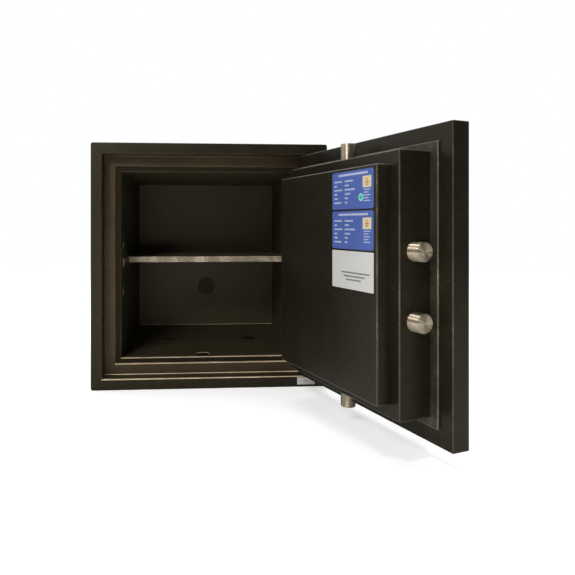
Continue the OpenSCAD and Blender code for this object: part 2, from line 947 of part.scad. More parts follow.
module handle() {
    tip_r = 6;
    root_r = 9;
    front = door_set - handle_out;
    color(steel)
        hung()
            difference() {
                union() {
                    rod_along_y(drive_x, drive_z, hub_r, front, door_set - 4.5);
                    translate([drive_x, front + lever_t, drive_z])
                        rotate([90, 0, 0])
                            linear_extrude(height = lever_t)
                                union() {
                                    polygon([[0, -root_r], [lever_len - tip_r, -tip_r],
                                        [lever_len - tip_r, tip_r], [0, root_r]]);
                                    translate([lever_len - tip_r, 0])
                                        circle(r = tip_r);
                                }
                }
                rod_along_y(drive_x, drive_z, spindle_r + fit, front + 6, door_set);
            }
}

module lock_bolt() {
    color(bronze)
        hung()
            block([lock_bolt_x0, lock_bolt_x0 + lock_bolt_w], [lock_bolt_y0, lock_bolt_y1],
                [lock_bolt_z1 - lock_bolt_len, lock_bolt_z1]);
}

module lock_key() {
    bow_y = door_set - 46;
    color(zinc)
        hung()
            union() {
                rod_along_y(key_x, key_z, key_r, bow_y + 20, lock_y1 - case_t - 1);
                block([key_x - 1.5, key_x + 1.5], [plate_y1 + case_t + 8, lock_y1 - case_t - 2],
                    [key_z - bit_reach, key_z]);
                difference() {
                    rod_x(bow_y + 10, key_z, 14, key_x - 2, key_x + 2);
                    rod_x(bow_y + 8, key_z, 8, key_x - 2 - eps, key_x + 2 + eps);
                }
            }
}

outer_casing();
rear_panel();
door_frame();
strike_bars();
inner_casing();
barrier_fill();
fire_seal();
shelf();
shelf_rails();
rear_anchor_sleeve();
rear_anchor_cap();
floor_anchor_sleeves();
floor_anchor_caps();
hinge_bushes();
thrust_washer();
rating_plate();
door_plate();
door_fill();
door_pan();
hinge_pins();
bolt_box();
inner_cover();
cover_fill();
bolt_bushes();
rod_guides();
hard_plate();
lock_case();
lock_levers();
lock_screws();
handle_rose();
key_escutcheon();
label_upper();
label_middle();
label_lower();
side_bolts();
bolt_nuts();
bolt_carriage();
carriage_arm();
lock_tab();
top_bolt();
top_rod();
bottom_bolt();
bottom_rod();
drive_cam();
drive_pins();
handle_spindle();
handle();
lock_bolt();
lock_key();
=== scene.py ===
import json
from math import atan2, cos, pi, radians, sin

import bmesh
import bpy
from mathutils import Matrix, Vector


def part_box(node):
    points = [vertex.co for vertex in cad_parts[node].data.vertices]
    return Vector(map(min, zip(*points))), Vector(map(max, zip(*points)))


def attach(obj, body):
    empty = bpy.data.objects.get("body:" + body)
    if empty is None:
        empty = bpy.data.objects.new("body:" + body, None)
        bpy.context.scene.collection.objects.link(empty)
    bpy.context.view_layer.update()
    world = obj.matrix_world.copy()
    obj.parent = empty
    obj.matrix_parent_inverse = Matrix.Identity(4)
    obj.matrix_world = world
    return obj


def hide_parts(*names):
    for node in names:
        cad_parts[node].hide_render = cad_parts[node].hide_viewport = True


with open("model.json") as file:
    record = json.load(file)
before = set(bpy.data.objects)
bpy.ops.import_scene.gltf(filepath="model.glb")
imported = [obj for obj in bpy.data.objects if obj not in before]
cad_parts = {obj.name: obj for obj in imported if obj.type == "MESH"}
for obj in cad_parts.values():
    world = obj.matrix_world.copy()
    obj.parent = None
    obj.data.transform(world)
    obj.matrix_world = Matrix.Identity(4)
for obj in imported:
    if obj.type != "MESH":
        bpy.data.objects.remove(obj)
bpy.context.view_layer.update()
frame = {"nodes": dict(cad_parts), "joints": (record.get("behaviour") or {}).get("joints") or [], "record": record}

record = frame["record"]
bodyOf = {node: body for body, nodes in record["behaviour"]["bodies"].items() for node in nodes}
slotOf = {part["node"]: part["material_slot"] for part in record["subparts"]}
hinge = next(joint for joint in frame["joints"] if joint["name"] == "door_hinge")
hingeAt = Vector(hinge["pos_m"])
openAngle = -radians(hinge["range_deg"][0])      # how far the door stands open at rest
meshing = {"merge": 0.00001, "onSide": 0.00002, "flatAngle": 0.5, "quadAngle": 1, "quadShape": 60}


def turned(angle):
    return Matrix.Translation(hingeAt) @ Matrix.Rotation(angle, 4, "Z") @ Matrix.Translation(-hingeAt)


def closedBox(node):
    back = turned(-openAngle)
    points = [back @ v.co for v in frame["nodes"][node].data.vertices]
    low = Vector([min(p[i] for p in points) for i in range(3)])
    high = Vector([max(p[i] for p in points) for i in range(3)])
    return low, high


def deselectAll():
    if bpy.context.mode != "OBJECT":
        bpy.ops.object.mode_set(mode="OBJECT")
    bpy.ops.object.select_all(action="DESELECT")


def pick(obj):
    deselectAll()
    obj.select_set(True)
    bpy.context.view_layer.objects.active = obj
    return obj


def applyPlace(obj):
    pick(obj)
    bpy.ops.object.transform_apply(location=True, rotation=True, scale=True)
    return obj


def addBox(name, low, high):
    deselectAll()
    low, high = Vector(low), Vector(high)
    bpy.ops.mesh.primitive_cube_add(size=1, location=(low + high) / 2)
    obj = bpy.context.object
    obj.name = name
    obj.scale = high - low
    return applyPlace(obj)


def addRod(name, start, end, radius, sides=64):
    deselectAll()
    start, end = Vector(start), Vector(end)
    along = end - start
    bpy.ops.mesh.primitive_cylinder_add(vertices=sides, radius=radius, depth=along.length,
                                        location=(start + end) / 2)
    obj = bpy.context.object
    obj.name = name
    obj.rotation_mode = "QUATERNION"
    obj.rotation_quaternion = along.to_track_quat("Z", "Y")
    return applyPlace(obj)


def selectFaces(obj, test):
    pick(obj)
    bpy.ops.object.mode_set(mode="EDIT")
    bpy.ops.mesh.select_mode(type="FACE")
    bpy.ops.mesh.select_all(action="DESELECT")
    mesh = bmesh.from_edit_mesh(obj.data)
    for face in mesh.faces:
        face.select_set(test(face.calc_center_median(), face.normal))
    bmesh.update_edit_mesh(obj.data)


def selectEdges(obj, test):
    pick(obj)
    bpy.ops.object.mode_set(mode="EDIT")
    bpy.ops.mesh.select_mode(type="EDGE")
    bpy.ops.mesh.select_all(action="DESELECT")
    mesh = bmesh.from_edit_mesh(obj.data)
    for edge in mesh.edges:
        edge.select_set(test(edge.verts[0].co, edge.verts[1].co))
    bmesh.update_edit_mesh(obj.data)


def leaveEdit():
    bpy.ops.object.mode_set(mode="OBJECT")


def applyModifier(obj, kind, **values):
    pick(obj)
    modifier = obj.modifiers.new(kind.title(), kind)
    for name, value in values.items():
        setattr(modifier, name, value)
    bpy.ops.object.modifier_apply(modifier=modifier.name)
    return obj


def smoothFaces(obj):      # large flat faces stay flat beside rounded edges
    pick(obj)
    bpy.ops.object.shade_smooth()
    return applyModifier(obj, "WEIGHTED_NORMAL", mode="FACE_AREA", weight=70)


def roundEdges(obj, width, segments, limit, **values):
    return applyModifier(obj, "BEVEL", width=width, segments=segments, limit_method="ANGLE",
                         angle_limit=radians(limit), **values)


def roundCorners(obj, width, segments=3, keep=()):      # only the outer edges of the piece's own box
    points = [v.co.copy() for v in obj.data.vertices]
    sides = [(axis, edge(p[axis] for p in points)) for axis in range(3) for edge in (min, max)]
    sides = [side for number, side in enumerate(sides) if number not in keep]

    def onSide(point, side):
        return abs(point[side[0]] - side[1]) < meshing["onSide"]

    selectEdges(obj, lambda a, b: sum(onSide(a, side) and onSide(b, side) for side in sides) > 1)
    bpy.ops.mesh.bevel(offset=width, segments=segments, affect="EDGES", material=1, clamp_overlap=False)
    leaveEdit()
    return obj


def nodeCopy(node, name):      # a merged copy, in the closed door's place if it is on the door
    obj = bpy.data.objects.new(name, frame["nodes"][node].data.copy())
    bpy.context.scene.collection.objects.link(obj)
    obj.data.materials.clear()
    pick(obj)
    bpy.ops.object.mode_set(mode="EDIT")
    bpy.ops.mesh.select_all(action="SELECT")
    bpy.ops.mesh.remove_doubles(threshold=meshing["merge"])
    bpy.ops.mesh.dissolve_limited(angle_limit=radians(meshing["flatAngle"]))
    bpy.ops.mesh.quads_convert_to_tris(quad_method="BEAUTY", ngon_method="BEAUTY")
    bpy.ops.mesh.dissolve_degenerate(threshold=meshing["merge"])
    bpy.ops.mesh.tris_convert_to_quads(face_threshold=radians(meshing["quadAngle"]),
                                       shape_threshold=radians(meshing["quadShape"]))
    leaveEdit()
    if bodyOf[node] != "body":
        obj.matrix_world = turned(-openAngle)
        applyPlace(obj)
    return obj


def joined(name, parts):
    deselectAll()
    for part in parts:
        part.select_set(True)
    bpy.context.view_layer.objects.active = parts[0]
    bpy.ops.object.join()
    parts[0].name = name
    return parts[0]


def swing(obj):
    obj.matrix_world = turned(openAngle)
    return applyPlace(obj)


def finishPiece(obj, node):
    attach(obj, bodyOf[node])
    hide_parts(node)


def newGroup(name, inputs, outputs):
    group = bpy.data.node_groups.new(name, "ShaderNodeTree")
    for label, kind, value in inputs:
        socket = group.interface.new_socket(name=label, in_out="INPUT", socket_type=kind)
        if value is not None:
            socket.default_value = value
    for label, kind in outputs:
        group.interface.new_socket(name=label, in_out="OUTPUT", socket_type=kind)
    start = group.nodes.new("NodeGroupInput")
    end = group.nodes.new("NodeGroupOutput")
    return group, start, end


def addNode(tree, kind, **values):
    node = tree.nodes.new(kind)
    for name, value in values.items():
        if name in node.inputs:
            node.inputs[name].default_value = value
        else:
            setattr(node, name, value)
    return node


def mapRange(tree, source, low, high, newLow=0.0, newHigh=1.0):
    node = addNode(tree, "ShaderNodeMapRange")
    node.inputs["From Min"].default_value = low
    node.inputs["From Max"].default_value = high
    node.inputs["To Min"].default_value = newLow
    node.inputs["To Max"].default_value = newHigh
    tree.links.new(source, node.inputs["Value"])
    return node.outputs["Result"]


def combine(tree, operation, first, second):
    node = addNode(tree, "ShaderNodeMath", operation=operation)
    for i, value in enumerate((first, second)):
        if isinstance(value, (int, float)):
            node.inputs[i].default_value = value
        else:
            tree.links.new(value, node.inputs[i])
    return node.outputs[0]


def powderGroup():
    group, start, end = newGroup("powderTexture",
        [("Vector", "NodeSocketVector", None), ("Grain", "NodeSocketFloat", 900.0),
         ("Fleck", "NodeSocketFloat", 0.5)],
        [("Height", "NodeSocketFloat"), ("Fleck", "NodeSocketFloat"), ("Cloud", "NodeSocketFloat")])
    link = group.links.new
    peel = addNode(group, "ShaderNodeTexNoise", Detail=2.0, Roughness=0.55)
    link(start.outputs["Vector"], peel.inputs["Vector"])
    link(start.outputs["Grain"], peel.inputs["Scale"])
    fine = addNode(group, "ShaderNodeTexVoronoi", feature="SMOOTH_F1", Smoothness=0.6)
    link(start.outputs["Vector"], fine.inputs["Vector"])
    link(combine(group, "MULTIPLY", start.outputs["Grain"], 1.7), fine.inputs["Scale"])
    pits = combine(group, "MULTIPLY", fine.outputs["Distance"], 0.5)
    height = combine(group, "ADD", peel.outputs["Fac"], pits)
    link(height, end.inputs["Height"])
    dots = addNode(group, "ShaderNodeTexNoise", Detail=1.0, Roughness=0.5)
    link(start.outputs["Vector"], dots.inputs["Vector"])
    link(combine(group, "MULTIPLY", start.outputs["Grain"], 1.1), dots.inputs["Scale"])
    bright = mapRange(group, dots.outputs["Fac"], 0.62, 0.74)
    link(combine(group, "MULTIPLY", bright, start.outputs["Fleck"]), end.inputs["Fleck"])
    cloud = addNode(group, "ShaderNodeTexNoise", Scale=7.0, Detail=4.0, Roughness=0.6)
    link(start.outputs["Vector"], cloud.inputs["Vector"])
    link(mapRange(group, cloud.outputs["Fac"], 0.3, 0.7), end.inputs["Cloud"])
    return group


def scuffGroup():
    group, start, end = newGroup("handlingScuffs",
        [("Vector", "NodeSocketVector", None), ("Amount", "NodeSocketFloat", 0.5)],
        [("Mask", "NodeSocketFloat"), ("Scratch", "NodeSocketFloat")])
    link = group.links.new
    broad = addNode(group, "ShaderNodeTexNoise", Scale=26.0, Detail=5.0, Roughness=0.65)
    link(start.outputs["Vector"], broad.inputs["Vector"])
    chips = addNode(group, "ShaderNodeTexNoise", Scale=420.0, Detail=3.0, Roughness=0.6)
    link(start.outputs["Vector"], chips.inputs["Vector"])
    both = combine(group, "MULTIPLY", mapRange(group, broad.outputs["Fac"], 0.46, 0.66),
                mapRange(group, chips.outputs["Fac"], 0.44, 0.62))
    link(combine(group, "MULTIPLY", both, start.outputs["Amount"]), end.inputs["Mask"])
    stretch = addNode(group, "ShaderNodeMapping")
    stretch.inputs["Scale"].default_value = (1.0, 1.0, 9.0)
    stretch.inputs["Rotation"].default_value = (0.5, 0.3, 0.2)
    link(start.outputs["Vector"], stretch.inputs["Vector"])
    lines = addNode(group, "ShaderNodeTexNoise", Scale=60.0, Detail=2.0, Roughness=0.5)
    link(stretch.outputs["Vector"], lines.inputs["Vector"])
    link(mapRange(group, lines.outputs["Fac"], 0.68, 0.72), end.inputs["Scratch"])
    return group


def latheGroup():
    group, start, end = newGroup("latheMarks",
        [("Vector", "NodeSocketVector", None), ("Pitch", "NodeSocketFloat", 2600.0)],
        [("Height", "NodeSocketFloat"), ("Streak", "NodeSocketFloat")])
    link = group.links.new
    stretch = addNode(group, "ShaderNodeMapping")
    stretch.inputs["Scale"].default_value = (0.0009, 0.0009, 1.0)
    link(start.outputs["Vector"], stretch.inputs["Vector"])
    rings = addNode(group, "ShaderNodeTexNoise", Detail=3.0, Roughness=0.7)
    link(stretch.outputs["Vector"], rings.inputs["Vector"])
    link(start.outputs["Pitch"], rings.inputs["Scale"])
    link(rings.outputs["Fac"], end.inputs["Height"])
    broad = addNode(group, "ShaderNodeTexNoise", Detail=2.0, Roughness=0.6)
    link(stretch.outputs["Vector"], broad.inputs["Vector"])
    link(combine(group, "MULTIPLY", start.outputs["Pitch"], 0.3), broad.inputs["Scale"])
    link(mapRange(group, broad.outputs["Fac"], 0.35, 0.65), end.inputs["Streak"])
    return group


groups = {"powder": powderGroup(), "scuff": scuffGroup(), "lathe": latheGroup()}


def newMaterial(name):
    material = bpy.data.materials.new(name)
    material.use_nodes = True
    tree = material.node_tree
    shader = tree.nodes["Principled BSDF"]
    return material, tree, shader


def useGroup(tree, which, vector, **values):
    node = addNode(tree, "ShaderNodeGroup")
    node.node_tree = groups[which]
    for name, value in values.items():
        node.inputs[name].default_value = value
    tree.links.new(vector, node.inputs["Vector"])
    return node


def mixColour(tree, factor, first, second):
    node = addNode(tree, "ShaderNodeMix", data_type="RGBA")
    if isinstance(factor, (int, float)):
        node.inputs["Factor"].default_value = factor
    else:
        tree.links.new(factor, node.inputs["Factor"])
    for socket, value in ((node.inputs[6], first), (node.inputs[7], second)):      # its colour sockets
        if isinstance(value, (tuple, list)):
            socket.default_value = (*value[:3], 1.0)
        else:
            tree.links.new(value, socket)
    return node.outputs[2]


def addBump(tree, shader, height, strength, distance):
    bump = addNode(tree, "ShaderNodeBump")
    bump.inputs["Strength"].default_value = strength
    bump.inputs["Distance"].default_value = distance
    tree.links.new(height, bump.inputs["Height"])
    tree.links.new(bump.outputs["Normal"], shader.inputs["Normal"])


def powderCoat(name, colour, fleck, roughness=0.38, grain=900.0, bump=0.35, scuff=0.15, gloss=0.36):
    material, tree, shader = newMaterial(name)
    place = addNode(tree, "ShaderNodeTexCoord").outputs["Object"]
    powder = useGroup(tree, "powder", place, Grain=grain, Fleck=0.8)
    worn = useGroup(tree, "scuff", place, Amount=scuff)
    shade = [c * 1.5 for c in colour]
    base = mixColour(tree, powder.outputs["Cloud"], colour, shade)
    base = mixColour(tree, powder.outputs["Fleck"], base, fleck)
    base = mixColour(tree, worn.outputs["Mask"], base, [c * 1.6 for c in fleck])
    tree.links.new(base, shader.inputs["Base Color"])
    rough = mapRange(tree, powder.outputs["Cloud"], 0, 1, roughness - 0.05, roughness + 0.06)
    polish = combine(tree, "MULTIPLY", worn.outputs["Mask"], 0.1)      # rubbed places shine more
    tree.links.new(combine(tree, "SUBTRACT", rough, polish), shader.inputs["Roughness"])
    shader.inputs["Specular IOR Level"].default_value = gloss
    shader.inputs["Specular Tint"].default_value = (1.0, 0.88, 0.66, 1.0)
    addBump(tree, shader, powder.outputs["Height"], bump, 0.00025)
    return material


def turnedSteel(name, colour, roughness, anisotropy):
    material, tree, shader = newMaterial(name)
    place = addNode(tree, "ShaderNodeAttribute", attribute_name="lathe").outputs["Vector"]
    marks = useGroup(tree, "lathe", place, Pitch=2600.0)
    base = mixColour(tree, marks.outputs["Streak"], [c * 0.8 for c in colour], colour)
    tree.links.new(base, shader.inputs["Base Color"])
    rough = mapRange(tree, marks.outputs["Height"], 0.3, 0.7, roughness - 0.06, roughness + 0.08)
    tree.links.new(rough, shader.inputs["Roughness"])
    shader.inputs["Metallic"].default_value = 1.0
    shader.inputs["Anisotropic"].default_value = anisotropy
    tangent = addNode(tree, "ShaderNodeTangent", direction_type="UV_MAP", uv_map="latheUv")
    tree.links.new(tangent.outputs["Tangent"], shader.inputs["Tangent"])
    addBump(tree, shader, marks.outputs["Height"], 0.25, 0.00005)
    return material


def plainMetal(name, colour, roughness=0.35, scale=300.0, bump=0.15):
    material, tree, shader = newMaterial(name)
    place = addNode(tree, "ShaderNodeTexCoord").outputs["Object"]
    powder = useGroup(tree, "powder", place, Grain=scale, Fleck=0.5)
    worn = useGroup(tree, "scuff", place, Amount=0.5)
    base = mixColour(tree, powder.outputs["Cloud"], [c * 0.82 for c in colour], colour)
    base = mixColour(tree, worn.outputs["Mask"], base, [c * 0.6 for c in colour])
    tree.links.new(base, shader.inputs["Base Color"])
    rough = mapRange(tree, powder.outputs["Cloud"], 0, 1, roughness - 0.06, roughness + 0.08)
    tree.links.new(rough, shader.inputs["Roughness"])
    shader.inputs["Metallic"].default_value = 1.0
    addBump(tree, shader, powder.outputs["Height"], bump, 0.0001)
    return material


def plainPlastic(name, colour, roughness=0.5, scale=700.0, bump=0.2, variation=0.15, gloss=0.5,
                 tint=(1.0, 1.0, 1.0)):
    material, tree, shader = newMaterial(name)
    place = addNode(tree, "ShaderNodeTexCoord").outputs["Object"]
    powder = useGroup(tree, "powder", place, Grain=scale, Fleck=0.3)
    base = mixColour(tree, powder.outputs["Cloud"], [c * (1 - variation) for c in colour], colour)
    tree.links.new(base, shader.inputs["Base Color"])
    rough = mapRange(tree, powder.outputs["Cloud"], 0, 1, roughness - 0.05, roughness + 0.05)
    tree.links.new(rough, shader.inputs["Roughness"])
    shader.inputs["Specular IOR Level"].default_value = gloss
    shader.inputs["Specular Tint"].default_value = (*tint, 1.0)
    addBump(tree, shader, powder.outputs["Height"], bump, 0.0001)
    return material


paints = {      # plain faces; their edges, mostly painted lighter as a painted edge highlight with some scuffing; and edges facing up and forwards, painted bright as a painted highlight
    "body": powderCoat("bodyPaint", (0.0100, 0.0083, 0.0046), (0.060, 0.050, 0.032), grain=800,
                       gloss=0.28),
    "bodyEdge": powderCoat("bodyPaintEdge", (0.020, 0.017, 0.010), (0.12, 0.10, 0.07), 0.32,
                           scuff=0.4),
    "bodyGlint": powderCoat("bodyPaintGlint", (0.62, 0.50, 0.34), (0.90, 0.78, 0.58), 0.28,
                             scuff=0.9),
    "frame": powderCoat("framePaint", (0.034, 0.0235, 0.0110), (0.10, 0.076, 0.044), 0.42,
                        grain=800),
    "frameEdge": powderCoat("framePaintEdge", (0.060, 0.044, 0.022), (0.20, 0.15, 0.09), 0.34,
                            scuff=0.5),
    "frameGlint": powderCoat("framePaintGlint", (0.66, 0.52, 0.34), (0.90, 0.78, 0.58), 0.28,
                              scuff=0.9),
    "door": powderCoat("doorPaint", (0.0078, 0.0069, 0.0042), (0.050, 0.044, 0.030), 0.32,
                       grain=850, gloss=0.25),
    "doorEdge": powderCoat("doorPaintEdge", (0.034, 0.030, 0.021), (0.14, 0.125, 0.092), 0.30,
                           scuff=0.55),
    "cavity": powderCoat("cavityPaint", (0.044, 0.0370, 0.0205), (0.095, 0.080, 0.052), 0.46,
                         grain=850),
    "cavityEdge": powderCoat("cavityPaintEdge", (0.040, 0.033, 0.018), (0.11, 0.09, 0.06), 0.34,
                             scuff=0.6),
    "cavityGlint": powderCoat("cavityPaintGlint", (0.55, 0.45, 0.32), (0.90, 0.80, 0.62), 0.26,
                               scuff=1.0),
    "shelf": powderCoat("shelfPaint", (0.070, 0.057, 0.033), (0.14, 0.115, 0.075), 0.44, grain=850),
    "shelfEdge": powderCoat("shelfPaintEdge", (0.20, 0.165, 0.115), (0.75, 0.68, 0.56), 0.30,
                            grain=620, scuff=1.0),
    "shelfGlint": powderCoat("shelfPaintGlint", (0.72, 0.64, 0.50), (0.95, 0.90, 0.80), 0.24,
                              scuff=1.0),
    "pan": powderCoat("panPaint", (0.018, 0.0160, 0.0105), (0.12, 0.108, 0.080), 0.36, scuff=0.4),
    "panEdge": powderCoat("panPaintEdge", (0.115, 0.102, 0.076), (0.34, 0.31, 0.25), 0.30,
                          scuff=0.7),
}
metals = {
    # the steel's warm yellow-brown colour is partly a painted reflection of warm surroundings
    "turned": turnedSteel("turnedSteel", (0.62, 0.53, 0.40), 0.46, 0.95),
    # dark steel for the strike bars: painted shade that darkens the keeper holes
    "shadeDarkSteel": plainMetal("strikeBarShadeSteel", (0.045, 0.040, 0.032), roughness=0.5, scale=600),
    "zinc": plainMetal("zincPlate", (0.50, 0.51, 0.52)),
    "chrome": plainMetal("satinChrome", (0.66, 0.65, 0.63), roughness=0.22, scale=1500, bump=0.06),
    "bronze": plainMetal("bearingBronze", (0.55, 0.36, 0.16), roughness=0.4, scale=1400),
}
plastics = {
    "fill": plainPlastic("mineralFill", (0.42, 0.40, 0.37), roughness=0.9, scale=350, bump=0.8),
    "seal": plainPlastic("fireStrip", (0.0120, 0.0098, 0.0060), 0.75, scale=500, gloss=0.25,
                         tint=(1.0, 0.85, 0.6)),
    "cap": plainPlastic("capPlastic", (0.020, 0.0170, 0.0100), 0.5, scale=1200, gloss=0.3,
                        tint=(1.0, 0.85, 0.6)),
    "labelBlue": plainPlastic("labelBlue", (0.060, 0.105, 0.34), 0.5, scale=300, bump=0.03,
                              variation=0.08, gloss=0.3),
    "labelPale": plainPlastic("labelPale", (0.52, 0.52, 0.51), 0.5, scale=300, bump=0.03,
                              variation=0.04, gloss=0.3),
    "printPale": plainPlastic("printPale", (0.40, 0.44, 0.62), roughness=0.4, bump=0.02),
    "printDark": plainPlastic("printDark", (0.20, 0.20, 0.20), roughness=0.4, bump=0.02),
    "printBeige": plainPlastic("printBeige", (0.60, 0.52, 0.33), roughness=0.4, bump=0.02),
    "printOrange": plainPlastic("printOrange", (0.42, 0.20, 0.045), roughness=0.4, bump=0.02),
    "printMint": plainPlastic("printMint", (0.20, 0.62, 0.48), roughness=0.4, bump=0.02),
    "printGreen": plainPlastic("printGreen", (0.03, 0.36, 0.27), roughness=0.35, bump=0.02),
    "white": plainPlastic("plateWhite", (0.72, 0.72, 0.70), roughness=0.4, scale=300, bump=0.05,
                          variation=0.05),
}
slotMaterial = {
    "body_paint": paints["body"], "cavity_paint": paints["cavity"], "door_paint": paints["door"],
    "turned_steel": metals["zinc"], "zinc": metals["zinc"], "satin_chrome": metals["chrome"],
    "bearing_bronze": metals["bronze"], "mineral_fill": plastics["fill"], "seal": plastics["seal"],
    "cap_plastic": plastics["cap"], "label_blue": plastics["labelBlue"],
    "label_pale": plastics["labelPale"], "plate_white": plastics["white"],
}
nodeMaterial = {"strike_bars": metals["shadeDarkSteel"]}      # nodes that differ from their slot: the strike bars get dark steel, a painted shade inside the keeper holes
for node, obj in frame["nodes"].items():
    obj.data.materials.clear()
    obj.data.materials.append(nodeMaterial.get(node, slotMaterial[slotOf[node]]))
print("materials made")


def makeCamera():
    view = {"height": 0.30031, "side": -0.02878, "distance": 0.99275, "turn": 0.0664,
            "lens": 33.87, "shiftX": 0.0986, "shiftY": -0.1089}
    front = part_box("outer_casing")[0][1]
    data = bpy.data.cameras.new("camera")
    data.sensor_width = 36.0
    data.lens = view["lens"]
    data.shift_x = view["shiftX"]
    data.shift_y = view["shiftY"]
    camera = bpy.data.objects.new("camera", data)
    camera.location = (view["side"], front - view["distance"], view["height"])
    camera.rotation_euler = (radians(90), 0, -view["turn"])
    bpy.context.scene.collection.objects.link(camera)
    bpy.context.scene.camera = camera


def addLight(name, kind, at, aim, power, colour):
    data = bpy.data.lights.new(name, kind)
    data.energy = power
    data.color = colour
    light = bpy.data.objects.new(name, data)
    light.location = at
    light.rotation_euler = (Vector(aim) - Vector(at)).to_track_quat("-Z", "Y").to_euler()
    bpy.context.scene.collection.objects.link(light)
    return data


areaLights = {      # name: (place, what it points at, width and height, power, colour)
    "keyLight": ((-1.2, -1.7, 1.5), (0.15, -0.4, 0.2), (0.30, 0.30), 8, (1.0, 0.98, 0.95)),
    "frontFill": ((-0.60, -1.45, 1.05), (0.0, 0.1, 0.15), (0.30, 0.30), 7.5, (1.0, 0.98, 0.95)),
    "lowFill": ((-0.15, -1.25, 0.12), (0.0, 0.1, 0.2), (0.5, 0.12), 1.2, (1.0, 0.95, 0.88)),
    "overhead": ((0.0, 0.4, 2.6), (0.0, 0.0, 0.0), (2.6, 2.0), 48, (1.0, 1.0, 1.0)),
}
boltLight = {      # a narrow one, for the highlight along the side bolts
    "at": (-0.152, -0.897, 1.408), "aim": (0.2485, -0.546, 0.22), "power": 26,
    "colour": (1.0, 0.98, 0.95), "cone": 9, "blend": 0.8, "softness": 0.05,
}


def makeLights():
    for name, (at, aim, size, power, colour) in areaLights.items():
        area = addLight(name, "AREA", at, aim, power, colour)
        area.shape = "RECTANGLE"
        area.size, area.size_y = size
    look = boltLight
    spot = addLight("boltLight", "SPOT", look["at"], look["aim"], look["power"], look["colour"])
    spot.spot_size = radians(look["cone"])
    spot.spot_blend = look["blend"]
    spot.shadow_soft_size = look["softness"]


worldLook = {"fromY": -0.3, "toY": 0.6, "front": 0.12, "back": 0.95}


def makeWorld():      # light comes mostly from behind and above; the backdrop itself is white
    world = bpy.data.worlds.new("studio")
    bpy.context.scene.world = world
    world.use_nodes = True
    tree = world.node_tree
    background = tree.nodes["Background"]
    place = addNode(tree, "ShaderNodeTexCoord").outputs["Generated"]
    split = addNode(tree, "ShaderNodeSeparateXYZ")
    tree.links.new(place, split.inputs[0])
    look = worldLook
    glow = mapRange(tree, split.outputs["Y"], look["fromY"], look["toY"], look["front"], look["back"])
    seen = addNode(tree, "ShaderNodeLightPath").outputs["Is Camera Ray"]
    lit = mixColour(tree, glow, (0.0, 0.0, 0.0), (1.0, 1.0, 1.0))
    tree.links.new(mixColour(tree, seen, lit, (1.0, 1.0, 1.0)), background.inputs["Color"])
    background.inputs["Strength"].default_value = 1.0
    bpy.context.scene.view_settings.view_transform = "Standard"      # keeps the backdrop white


floorLook = {"pale": (0.88, 0.88, 0.875), "bright": (0.92, 0.92, 0.915), "size": 9.0,
             "fadeFrom": 1.6, "fadeTo": 3.6, "roughness": 0.7, "glow": 0.5}


def makeFloor():      # pale floor that fades out into the white backdrop
    deselectAll()
    bpy.ops.mesh.primitive_plane_add(size=floorLook["size"], location=(0, 0, 0))
    floor = bpy.context.object
    floor.name = "floor"
    material, tree, shader = newMaterial("floorPale")
    place = addNode(tree, "ShaderNodeTexCoord").outputs["Object"]
    powder = useGroup(tree, "powder", place, Grain=120.0, Fleck=0.2)
    tree.links.new(mixColour(tree, powder.outputs["Cloud"], floorLook["pale"], floorLook["bright"]),
                   shader.inputs["Base Color"])
    reach = addNode(tree, "ShaderNodeVectorMath", operation="LENGTH")
    tree.links.new(place, reach.inputs[0])
    fade = mapRange(tree, reach.outputs["Value"], floorLook["fadeFrom"], floorLook["fadeTo"], 1.0, 0.0)
    tree.links.new(fade, shader.inputs["Alpha"])
    shader.inputs["Roughness"].default_value = floorLook["roughness"]
    seen = addNode(tree, "ShaderNodeLightPath").outputs["Is Camera Ray"]
    glow = mixColour(tree, seen, (0.0, 0.0, 0.0), (1.0, 1.0, 1.0))
    tree.links.new(glow, shader.inputs["Emission Color"])
    shader.inputs["Emission Strength"].default_value = floorLook["glow"]
    floor.data.materials.append(material)


makeCamera()
makeLights()
makeWorld()
makeFloor()
print("camera, light and floor made")


lowY = 2      # a box's sides are numbered low X, high X, low Y, high Y, low Z, high Z
# corner: rounding of the piece's own box; fine: of its other edges; keep: sides left out of corner
sheetPieces = {
    "outer_casing": {"name": "bodyShell", "paint": "body", "corner": 0, "fine": 0.0012},
    "door_frame": {"name": "doorwayFrame", "paint": "frame", "corner": 0, "fine": 0.0011},
    "inner_casing": {"name": "cavityLiner", "paint": "cavity", "corner": 0, "fine": 0.0006},
    "shelf": {"name": "shelfTray", "paint": "shelf", "corner": 0.0010, "fine": 0.0003},
    "shelf_rails": {"name": "shelfRunners", "paint": "shelf", "corner": 0, "fine": 0.0007},
    "door_plate": {"name": "doorSlab", "paint": "door", "corner": 0.0011, "fine": 0.0004},
    "door_pan": {"name": "doorPan", "paint": "pan", "corner": 0.0008, "fine": 0.0004,
                 "keep": (lowY,)},
    "bolt_box": {"name": "boltHousing", "paint": "door", "corner": 0.0015, "fine": 0.0002,
                 "keep": (lowY,)},
    "inner_cover": {"name": "innerCover", "paint": "door", "corner": 0.0017, "fine": 0.0003,
                    "keep": (lowY,)},
}


sheetEdges = {"segments": 2, "cornerSegments": 3, "limit": 50}
# face limits for the painted highlights: edges facing up and forwards below a height, and the shelf's front lip
glintLimits = {"up": 0.15, "front": 0.15, "top": 0.40, "lipFront": 0.9, "lipDepth": 0.001}


def paintUpperEdgeGlint(obj, slot):      # paints the edges that face up and forwards bright, a painted highlight where the light from above catches them
    for face in obj.data.polygons:
        upAndFront = face.normal.z > glintLimits["up"] and face.normal.y < -glintLimits["front"]
        if face.material_index == 1 and upAndFront and face.center.z < glintLimits["top"]:
            face.material_index = slot


def paintShelfLipGlint(obj, slot):      # the shelf's front lip gets the lighter edge paint all over, a painted highlight with scuffs in it
    front = min(v.co.y for v in obj.data.vertices)
    for face in obj.data.polygons:
        if face.normal.y < -glintLimits["lipFront"] and face.center.y < front + glintLimits["lipDepth"]:
            face.material_index = slot


